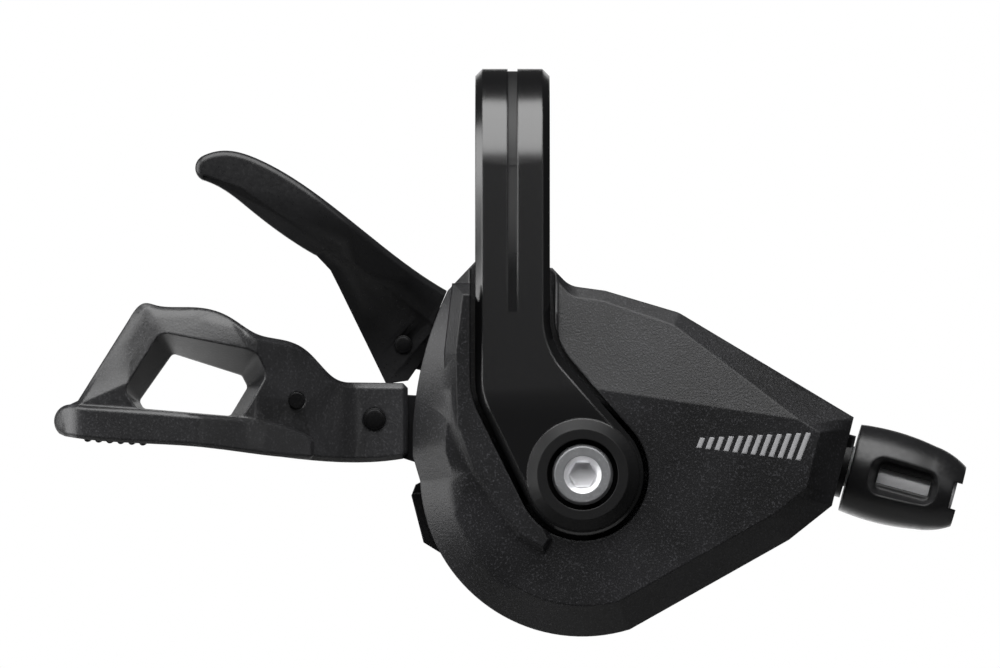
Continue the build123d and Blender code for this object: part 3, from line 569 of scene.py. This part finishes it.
@dataclass
class Housing:
    """Cover and case mouldings.

    Attributes:
        bevel: slope of the cover's rim from the face's normal, in degrees.
        edge_right: right end of the upper edge about the axle, right and up, in millimetres.
        edge_left: left end of the upper edge, likewise.
        boss_along: stretch of that edge beside the screw boss, from its right end, in millimetres.
        boss_across: width of the boss inward from the edge, in millimetres.
    """

    bevel: float = 44.0
    edge_right: tuple[float, float] = (33.5, 7.0)
    edge_left: tuple[float, float] = (11.9, 19.9)
    boss_along: tuple[float, float] = (4.0, 16.0)
    boss_across: tuple[float, float] = (-0.5, 3.0)

    def flush(self, spot: Vector) -> Vector:
        """Keeps the screw boss under the bevel of the upper edge.

        Args:
            spot: a point of the solid.

        Returns:
            The point, or its place on the bevel if it stands proud of it.
        """
        here = Vector((spot.x - AXLE.x, spot.z - AXLE.z)) / MM
        right = Vector(self.edge_right)
        side = (Vector(self.edge_left) - right).normalized()
        along = side.dot(here - right)
        inward = Vector((-side.y, side.x)).dot(here - right)
        rim = RIM_DEPTH / MM - here.x * math.tan(FACE_TILT)
        bevel = -(rim + inward / math.tan(math.radians(self.bevel))) * MM
        beside = self.boss_along[0] < along < self.boss_along[1]
        within = self.boss_across[0] < inward < self.boss_across[1]
        if beside and within and spot.y < bevel:
            return Vector((spot.x, bevel, spot.z))
        return spot

    def build(self) -> None:
        """Makes the two mouldings and the printed scale."""
        cover = moulding("upper_cover", "cover", COVER_NYLON, form=self.flush)
        fit(cover, Body.HOUSING, "cover_plastic", "upper_cover")
        case = moulding("lower_case", "case", CASE_NYLON)
        fit(case, Body.HOUSING, "case_plastic", "lower_case")
        PositionScale().build()


@dataclass
class PositionScale:
    """Printed scale on the cover: one slanting bar for each cable position, each taller than the last.

    Attributes:
        count: number of positions.
        pitch: distance between bars in millimetres.
        bar: width of a bar in millimetres.
        short: height of the first bar in millimetres.
        tall: height of the last bar in millimetres.
        film: thickness of the ink in millimetres.
        place: middle of the baseline, right and up from the bar's axis, in millimetres.
        fall: turn of the baseline in degrees.
        lean: lean of the bars, as sideways shift by height.
    """

    count: int = 12
    pitch: float = 1.12
    bar: float = 0.62
    short: float = 1.3
    tall: float = 3.5
    film: float = 0.05
    place: tuple[float, float] = (29.0, -33.7)
    fall: float = -7.0
    lean: float = 0.25

    def face_matrix(self) -> Matrix:
        """Frame of the tilted front face at the scale.

        Returns:
            Matrix with X along the face, Y up and Z out of it.
        """
        right = Vector((math.cos(FACE_TILT), math.sin(FACE_TILT), 0))
        out = Vector((math.sin(FACE_TILT), -math.cos(FACE_TILT), 0))
        x, z = (v * MM for v in self.place)
        depth = -RIM_DEPTH + out.y * FACE_RISE + (x - AXLE.x - out.x * FACE_RISE) * math.tan(FACE_TILT)
        turn = Matrix((right, Vector((0, 0, 1)), out)).transposed().to_4x4()
        fall = Matrix.Rotation(math.radians(self.fall), 4, "Z")
        return Matrix.Translation((x, depth, z)) @ turn @ fall

    def tree(self) -> bpy.types.NodeTree:
        """Builds the tree that stands a bar on each point and leans them all.

        Returns:
            Node group with named inputs for the bar, the first height, the growth, the film and the lean.
        """
        tree = group("position_scale_tree", "Points", ("Bar", "Short", "Growth", "Film", "Lean"), "Scale")
        given = add(tree, "NodeGroupInput")
        block = add(tree, "GeometryNodeMeshCube", values={"Size": (1.0, 1.0, 1.0)})
        upright = add(tree, "GeometryNodeTransform", values={"Translation": (0.0, 0.5, 0.0)},
                      feeds={"Geometry": block.outputs["Mesh"]})
        grown = add(tree, "ShaderNodeMath", {"operation": "MULTIPLY_ADD"},
                    feeds={0: add(tree, "GeometryNodeInputIndex").outputs[0], 1: given.outputs["Growth"],
                           2: given.outputs["Short"]})
        size = add(tree, "ShaderNodeCombineXYZ",
                   feeds={"X": given.outputs["Bar"], "Y": grown.outputs[0], "Z": given.outputs["Film"]})
        stood = add(tree, "GeometryNodeInstanceOnPoints",
                    feeds={"Points": given.outputs["Points"], "Instance": upright.outputs[0],
                           "Scale": size.outputs[0]})
        solid = add(tree, "GeometryNodeRealizeInstances", feeds={"Geometry": stood.outputs[0]})
        spot = add(tree, "ShaderNodeSeparateXYZ",
                   feeds={0: add(tree, "GeometryNodeInputPosition").outputs[0]})
        slide = add(tree, "ShaderNodeMath", {"operation": "MULTIPLY"},
                    feeds={0: spot.outputs["Y"], 1: given.outputs["Lean"]})
        shift = add(tree, "ShaderNodeCombineXYZ", feeds={"X": slide.outputs[0]})
        leaned = add(tree, "GeometryNodeSetPosition",
                     feeds={"Geometry": solid.outputs[0], "Offset": shift.outputs[0]})
        add(tree, "NodeGroupOutput", feeds={0: leaned.outputs[0]})
        return tree

    def build(self) -> None:
        """Prints the scale on the front face as one thin film."""
        first = -self.pitch * (self.count - 1) / 2
        growth = (self.tall - self.short) / (self.count - 1)
        mesh = bpy.data.meshes.new("position_scale")
        mesh.from_pydata([((first + i * self.pitch) * MM, 0.0, 0.0) for i in range(self.count)], [], [])
        made = show(mesh, "position_scale")
        grow(made, self.tree(), {"Bar": self.bar * MM, "Short": self.short * MM, "Growth": growth * MM,
                                 "Film": self.film * MM, "Lean": self.lean}, SCALE_INK)
        made.data.transform(self.face_matrix())
        fit(made, Body.HOUSING, "cover_plastic")


@dataclass
class RivetHeads:
    """Low domed heads on the rivets of a lever that show, placed by a node tree.

    Attributes:
        name: piece name.
        places: rivet centres at the face, in millimetres.
        radius: head radius in millimetres.
        flat: height of the dome as a share of its radius.
        segments: sides of the dome.
        rings: steps from its rim over the top to the far rim.
    """

    name: str
    places: list[tuple[float, float, float]]
    radius: float
    flat: float = 0.12
    segments: int = 40
    rings: int = 20

    def tree(self) -> bpy.types.NodeTree:
        """Builds the tree that sets a dome on each point.

        Returns:
            Node group with named inputs for radius and flatness.
        """
        tree = group(self.name + "_tree", "Points", ("Radius", "Flatness"), "Heads")
        given = add(tree, "NodeGroupInput")
        dome = add(tree, "GeometryNodeMeshUVSphere", values={"Segments": self.segments, "Rings": self.rings},
                   feeds={"Radius": given.outputs["Radius"]})
        size = add(tree, "ShaderNodeCombineXYZ", values={"X": 1.0, "Z": 1.0},
                   feeds={"Y": given.outputs["Flatness"]})
        set_on = add(tree, "GeometryNodeInstanceOnPoints",
                     feeds={"Points": given.outputs["Points"], "Instance": dome.outputs["Mesh"],
                            "Scale": size.outputs[0]})
        solid = add(tree, "GeometryNodeRealizeInstances", feeds={"Geometry": set_on.outputs[0]})
        smooth = add(tree, "GeometryNodeSetShadeSmooth", feeds={"Geometry": solid.outputs[0]})
        add(tree, "NodeGroupOutput", feeds={0: smooth.outputs[0]})
        return tree

    def build(self, body: Body) -> None:
        """Makes the heads as one plain mesh.

        Args:
            body: body that they ride on.
        """
        mesh = bpy.data.meshes.new(self.name)
        mesh.from_pydata([tuple(v * MM for v in place) for place in self.places], [], [])
        made = show(mesh, self.name)
        grow(made, self.tree(), {"Radius": self.radius * MM, "Flatness": self.flat}, RIVET_OXIDE)
        fit(made, body, "rivet_black")


@dataclass
class Levers:
    """Main lever and release paddle mouldings with their rivet heads.

    Attributes:
        window: front corners of the loop's window about the axle, right and up, in millimetres.
        rim_draft: backward slope of the loop's rim, in degrees.
        rim_front: depth of the rim's front, where the slope is full, in millimetres.
        rim_back: depth at which the slope has faded out, in millimetres.
        rim_fade: length over which the slope begins at the arm, in millimetres.
        pad_top: height of the thumb pad above the axle in millimetres.
        grip_crease: edges of the main grip sharper than this, in degrees, stay crisp.
        paddle_crease: the same for the paddle, whose edges are finely rounded.
        main_head: place of the main lever's rivet head in millimetres.
        main_head_radius: radius of that head in millimetres.
        release_head: place of the release lever's rivet head in millimetres.
        release_head_radius: radius of that head in millimetres.
    """

    window: tuple[tuple[float, float], ...] = ((-51.8, 17.6), (-39.6, 15.2), (-37.8, 13.0), (-41.8, 7.0),
                                               (-54.4, 7.9), (-56.3, 10.4))
    rim_draft: float = 18.0
    rim_front: float = -22.5
    rim_back: float = -17.0
    rim_fade: float = 5.0
    pad_top: float = 8.9
    grip_crease: float = 16.0
    paddle_crease: float = 28.0
    main_head: tuple[float, float, float] = (-17.0, -12.65, -29.4)
    main_head_radius: float = 1.25
    release_head: tuple[float, float, float] = (-13.5, -7.05, -20.2)
    release_head_radius: float = 1.0

    @staticmethod
    def gap(spot: Vector, start: Vector, end: Vector) -> float:
        """Measures how far a point is from a straight side.

        Args:
            spot: the point, in the plane of the face.
            start: first end of the side.
            end: last end of the side.

        Returns:
            Distance in the unit of the points.
        """
        side = end - start
        share = max(0.0, min(1.0, (spot - start).dot(side) / side.length_squared))
        return (spot - start - side * share).length

    def drafted(self, spot: Vector) -> Vector:
        """Slopes the front of the loop's rim back from its window.

        Args:
            spot: a point of the solid.

        Returns:
            The point on the finished rim, or the same point elsewhere.
        """
        here = Vector((spot.x - AXLE.x, spot.z - AXLE.z)) / MM
        share = min(1.0, (self.rim_back - spot.y / MM) / (self.rim_back - self.rim_front))
        if share <= 0 or here.y < self.pad_top or here.x > self.window[1][0]:
            return spot
        ends = self.window[1:] + self.window[:1]
        sides = [(Vector(start), Vector(end)) for start, end in zip(self.window, ends)]
        if all((end - start).orthogonal().dot(here - start) <= 0 for start, end in sides):
            return spot
        reach = min(self.gap(here, start, end) for start, end in sides)
        fade = min(1.0, (self.window[1][0] - here.x) / self.rim_fade)
        slope = math.tan(math.radians(self.rim_draft))
        return spot + Vector((0, slope * reach * fade * share * MM, 0))

    def build(self) -> None:
        """Makes both grips and the heads of their rivets."""
        grip = moulding("main_lever_grip", "main_grip", LEVER_NYLON, self.grip_crease, self.drafted,
                        level=False)
        fit(grip, Body.MAIN_LEVER, "lever_plastic", "main_lever_grip")
        # The paddle's nylon is painted lighter, as painted light on its shaded lower part.
        paddle = moulding("release_lever_grip", "release_paddle", PADDLE_NYLON_PAINTED_LIGHTER, self.paddle_crease,
                          level=False)
        fit(paddle, Body.RELEASE_LEVER, "paddle_plastic", "release_lever_grip")
        main = RivetHeads("main_lever_heads", [self.main_head], self.main_head_radius)
        main.build(Body.MAIN_LEVER)
        release = RivetHeads("release_lever_head", [self.release_head], self.release_head_radius)
        release.build(Body.RELEASE_LEVER)


@dataclass
class Adjuster:
    """Barrel knob and the partly threaded sleeve inside it.

    Attributes:
        pitch: thread pitch in millimetres.
        depth: thread depth in millimetres.
        radius: sleeve radius over the crests in millimetres.
        socket: radius of the casing socket in millimetres.
        bore: radius of the bore for the inner cable in millimetres.
        span: start and end of the sleeve along its axis in millimetres.
        threaded: start and end of the thread in millimetres.
        turns: number of sides of the lathed sleeve.
        socket_start: start of the casing socket in millimetres.
        steps: points of the blank along each turn of thread.
        lip: length and depth of the chamfer at the open end in millimetres.
        margin: plain stretch at each end of the thread in millimetres.
        crest_share: part of the crest radius beyond which a point counts as thread.
        crease: edges of the sleeve sharper than this, in degrees, stay crisp.
    """

    pitch: float = 0.8
    depth: float = 0.3
    radius: float = 2.7
    socket: float = 2.15
    bore: float = 0.9
    span: tuple[float, float] = (-8.5, 13.6)
    threaded: tuple[float, float] = (-7.6, 2.6)
    turns: int = 48
    socket_start: float = 4.0
    steps: int = 8
    lip: tuple[float, float] = (0.3, 0.2)
    margin: float = 0.01
    crest_share: float = 0.97
    crease: float = 30.0

    def build(self) -> None:
        """Makes the knob and the sleeve."""
        knob = moulding("adjuster_knob", "barrel_knob", KNOB_ACETAL)
        fit(knob, Body.KNOB, "knob_plastic", "adjuster_knob")
        self.sleeve()

    def axis_matrix(self) -> Matrix:
        """Frame of the adjuster, with Z along its axis.

        Returns:
            Matrix from the adjuster's own frame to the object's.
        """
        along = Vector((math.cos(ADJUSTER_FALL), 0, -math.sin(ADJUSTER_FALL)))
        across = Vector((0, 1, 0))
        turn = Matrix((across, along.cross(across), along)).transposed().to_4x4()
        return Matrix.Translation(ADJUSTER_START) @ turn

    def profile(self) -> list[tuple[float, float]]:
        """Section of the sleeve as radius and distance along the axis, in millimetres.

        Returns:
            Closed loop of points, outside first.
        """
        low, high = self.span
        first, last = self.threaded
        count = int((last - first) / (self.pitch / self.steps))
        outside = [(self.radius, low)]
        outside += [(self.radius, first + (last - first) * i / count) for i in range(count + 1)]
        outside += [(self.radius, high - self.lip[0]), (self.radius - self.lip[1], high)]
        socket = [(self.socket, high), (self.socket, self.socket_start)]
        bore = [(self.bore, self.socket_start), (self.bore, low)]
        return outside + socket + bore

    def tree(self) -> bpy.types.NodeTree:
        """Builds the tree that cuts the helical thread into the lathed blank.

        Returns:
            Node group with named inputs for pitch, depth, crest radius and the thread's ends.
        """
        tree = group("sleeve_thread_tree", "Blank", ("Pitch", "Depth", "Crest", "First", "Last"), "Sleeve")
        given = add(tree, "NodeGroupInput")
        spot = add(tree, "ShaderNodeSeparateXYZ",
                   feeds={0: add(tree, "GeometryNodeInputPosition").outputs[0]})
        angle = add(tree, "ShaderNodeMath", {"operation": "ARCTAN2"},
                    feeds={0: spot.outputs["Y"], 1: spot.outputs["X"]})
        turn = add(tree, "ShaderNodeMath", {"operation": "DIVIDE"}, {1: math.tau}, {0: angle.outputs[0]})
        rise = add(tree, "ShaderNodeMath", {"operation": "DIVIDE"},
                   feeds={0: spot.outputs["Z"], 1: given.outputs["Pitch"]})
        phase = add(tree, "ShaderNodeMath", {"operation": "SUBTRACT"},
                    feeds={0: rise.outputs[0], 1: turn.outputs[0]})
        # The wave goes from 0 to a half and back on each turn, so twice the wave is the whole depth.
        wave = add(tree, "ShaderNodeMath", {"operation": "PINGPONG"}, {1: 0.5}, {0: phase.outputs[0]})
        cut = add(tree, "ShaderNodeMath", {"operation": "MULTIPLY"},
                  feeds={0: wave.outputs[0], 1: given.outputs["Depth"]})
        deep = add(tree, "ShaderNodeMath", {"operation": "MULTIPLY"}, {1: -2.0}, {0: cut.outputs[0]})
        flat = add(tree, "ShaderNodeCombineXYZ", feeds={"X": spot.outputs["X"], "Y": spot.outputs["Y"]})
        outward = add(tree, "ShaderNodeVectorMath", {"operation": "NORMALIZE"}, feeds={0: flat.outputs[0]})
        shift = add(tree, "ShaderNodeVectorMath", {"operation": "SCALE"},
                    feeds={0: outward.outputs[0], "Scale": deep.outputs[0]})
        reach = add(tree, "ShaderNodeVectorMath", {"operation": "LENGTH"}, feeds={0: flat.outputs[0]})
        inner = add(tree, "ShaderNodeMath", {"operation": "MULTIPLY"}, {1: self.crest_share},
                    {0: given.outputs["Crest"]})
        on_crest = add(tree, "FunctionNodeCompare", {"operation": "GREATER_THAN"},
                       feeds={0: reach.outputs["Value"], 1: inner.outputs[0]})
        after = add(tree, "FunctionNodeCompare", {"operation": "GREATER_THAN"},
                    feeds={0: spot.outputs["Z"], 1: given.outputs["First"]})
        before = add(tree, "FunctionNodeCompare", {"operation": "LESS_THAN"},
                     feeds={0: spot.outputs["Z"], 1: given.outputs["Last"]})
        within = add(tree, "FunctionNodeBooleanMath", {"operation": "AND"},
                     feeds={0: after.outputs[0], 1: before.outputs[0]})
        chosen = add(tree, "FunctionNodeBooleanMath", {"operation": "AND"},
                     feeds={0: within.outputs[0], 1: on_crest.outputs[0]})
        moved = add(tree, "GeometryNodeSetPosition",
                    feeds={"Geometry": given.outputs["Blank"], "Selection": chosen.outputs[0],
                           "Offset": shift.outputs[0]})
        add(tree, "NodeGroupOutput", feeds={0: moved.outputs[0]})
        return tree

    def sleeve(self) -> None:
        """Lathes the sleeve's blank, cuts its thread and puts it in place."""
        section = self.profile()
        points = []
        for step in range(self.turns):
            angle = math.tau * step / self.turns
            points += [(r * MM * math.cos(angle), r * MM * math.sin(angle), s * MM) for r, s in section]
        size = len(section)
        faces = []
        for step in range(self.turns):
            here = step * size
            there = (step + 1) % self.turns * size
            for i in range(size):
                j = (i + 1) % size
                faces.append((here + i, there + i, there + j, here + j))
        mesh = bpy.data.meshes.new("threaded_sleeve")
        mesh.from_pydata(points, [], faces)
        for face in mesh.polygons:
            face.use_smooth = True
        made = show(mesh, "threaded_sleeve")
        first, last = self.threaded
        sizes = {"Pitch": self.pitch, "Depth": self.depth, "Crest": self.radius,
                 "First": first + self.margin, "Last": last - self.margin}
        grow(made, self.tree(), {name: size * MM for name, size in sizes.items()}, SLEEVE_NICKEL)
        made.data.transform(self.axis_matrix())
        made.data.set_sharp_from_angle(angle=math.radians(self.crease))
        fit(made, Body.SLEEVE, "sleeve_plating", "adjuster_sleeve")


class Mechanism:
    """Inner pieces and small fasteners, which keep their solids and get real finishes."""

    @staticmethod
    def dress() -> None:
        """Gives each carried-over node its material."""
        for node, finish in NODE_FINISH.items():
            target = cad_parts[node]
            target.data.materials.clear()
            target.data.materials.append(finish.material())
            log.info("%s finished in %s", node, finish.name)


@dataclass
class Studio:
    """Pale floor, white backdrop, soft lights and the camera at the photograph's angle.

    Attributes:
        centre: point in the middle of the picture, right and up from the bar's axis, in millimetres.
        width: width of the picture at the object in millimetres.
        lens: focal length in millimetres.
        sensor: width of the camera's sensor in millimetres.
        front: depth of the plane that the picture's width is measured in, in millimetres.
        sight: how far the camera sees in metres.
        paper_colour: sRGB colour of the floor and backdrop.
        paper_rough: roughness of their paper.
        floor_z: height of the floor in millimetres.
        air: strength of the even light all round.
        sheet_front: front edge of the floor in metres.
        sheet_back: where the floor bends up, in metres.
        sheet_half: half the width of the floor and backdrop in metres.
        sheet_top: upper edge of the backdrop in metres.
        bend: radius of the bend between them in metres.
        bend_steps: number of steps round that bend.
    """

    centre: tuple[float, float] = (-1.54, -18.94)
    width: float = 123.0
    lens: float = 600.0
    sensor: float = 36.0
    front: float = -14.0
    sight: float = 10.0
    paper_colour: str = "#e6e6e6"
    paper_rough: float = 0.9
    floor_z: float = -1400.0
    air: float = 0.05
    sheet_front: float = -0.6
    sheet_back: float = 2.3
    sheet_half: float = 1.4
    sheet_top: float = 0.7
    bend: float = 0.1
    bend_steps: int = 6

    def build(self) -> None:
        """Makes the floor, world, lights and camera."""
        self.sheet()
        self.world()
        for light in Light:
            self.lamp(light)
        self.camera()

    def paper(self, name: str, lit: bool) -> bpy.types.Material:
        """Makes one pale paper, with a backdrop that is plain white in front and clear from behind.

        Args:
            name: the material's name.
            lit: whether the paper shows as white to the camera and in reflections.

        Returns:
            The paper's material.
        """
        material = bpy.data.materials.new(name)
        material.use_nodes = True
        tree = material.node_tree
        shader = tree.nodes["Principled BSDF"]
        shader.inputs["Base Color"].default_value = linear(self.paper_colour)
        shader.inputs["Roughness"].default_value = self.paper_rough
        if lit:
            path = add(tree, "ShaderNodeLightPath")
            seen = add(tree, "ShaderNodeMath", {"operation": "MAXIMUM"},
                       feeds={0: path.outputs["Is Camera Ray"], 1: path.outputs["Is Glossy Ray"]})
            either = add(tree, "ShaderNodeMath", {"operation": "MAXIMUM"},
                         feeds={0: seen.outputs[0], 1: path.outputs["Is Transmission Ray"]})
            glow = add(tree, "ShaderNodeEmission", values={"Color": linear("#ffffff"), "Strength": 1.0})
            blend = add(tree, "ShaderNodeMixShader",
                        feeds={0: either.outputs[0], 1: shader.outputs[0], 2: glow.outputs[0]})
            behind = add(tree, "ShaderNodeNewGeometry").outputs["Backfacing"]
            nothing = add(tree, "ShaderNodeBsdfTransparent").outputs[0]
            clear = add(tree, "ShaderNodeMixShader", feeds={0: behind, 1: blend.outputs[0], 2: nothing})
            tree.links.new(clear.outputs[0], tree.nodes["Material Output"].inputs["Surface"])
        return material

    def sheet(self) -> None:
        """Makes one sheet that is pale floor in front and white backdrop behind."""
        z = self.floor_z * MM
        turns = [step * math.pi / (2 * self.bend_steps) for step in range(1, self.bend_steps + 1)]
        path = [(self.sheet_front, z), (self.sheet_back, z)]
        path += [(self.sheet_back + self.bend * math.sin(turn), z + self.bend * (1 - math.cos(turn)))
                 for turn in turns]
        path.append((self.sheet_back + self.bend, self.sheet_top))
        points = [(x, y, h) for x in (-self.sheet_half, self.sheet_half) for y, h in path]
        count = len(path)
        faces = [(i, i + count, i + count + 1, i + 1) for i in range(count - 1)]
        mesh = bpy.data.meshes.new("studio_sheet")
        mesh.from_pydata(points, [], faces)
        mesh.materials.append(self.paper("pale_floor_paper", False))
        mesh.materials.append(self.paper("white_backdrop_paper", True))
        for face in mesh.polygons:
            face.use_smooth = True
            face.material_index = 1 if face.center.y > self.sheet_back else 0
        show(mesh, "studio_sheet")

    def world(self) -> None:
        """Makes the even, dim light all round."""
        world = bpy.data.worlds.new("studio_air")
        bpy.context.scene.world = world
        world.use_nodes = True
        dim = world.node_tree.nodes["Background"]
        dim.inputs["Color"].default_value = linear("#ffffff")
        dim.inputs["Strength"].default_value = self.air

    def lamp(self, light: Light) -> None:
        """Makes one soft area light.

        Args:
            light: which light.
        """
        place, aim, wide, high, power = light.value
        data = bpy.data.lights.new("softbox_" + light.name.lower(), "AREA")
        data.shape = "RECTANGLE"
        data.size = wide
        data.size_y = high
        data.energy = power
        lamp = bpy.data.objects.new(data.name, data)
        bpy.context.scene.collection.objects.link(lamp)
        lamp.location = place
        lamp.rotation_euler = (Vector(aim) - Vector(place)).to_track_quat("-Z", "Y").to_euler()

    def camera(self) -> None:
        """Makes the camera square on to the front, with the photograph's framing."""
        data = bpy.data.cameras.new("front_camera")
        data.lens = self.lens
        data.sensor_width = self.sensor
        camera = bpy.data.objects.new("front_camera", data)
        bpy.context.scene.collection.objects.link(camera)
        distance = self.width * MM * self.lens / self.sensor
        camera.location = (self.centre[0] * MM, self.front * MM - distance, self.centre[1] * MM)
        camera.rotation_euler = (math.radians(90), 0, 0)
        data.clip_end = self.sight
        bpy.context.scene.camera = camera


def main() -> None:
    """Builds the sub-assemblies in order, sets the studio and notes the sizes."""
    logging.basicConfig(level=logging.INFO, format="%(message)s")
    bpy.context.scene.view_settings.view_transform = "Standard"
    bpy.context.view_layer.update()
    Mechanism.dress()
    Clamp().build()
    Housing().build()
    Levers().build()
    Adjuster().build()
    Studio().build()
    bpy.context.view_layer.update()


if __name__ == "__main__":
    main()
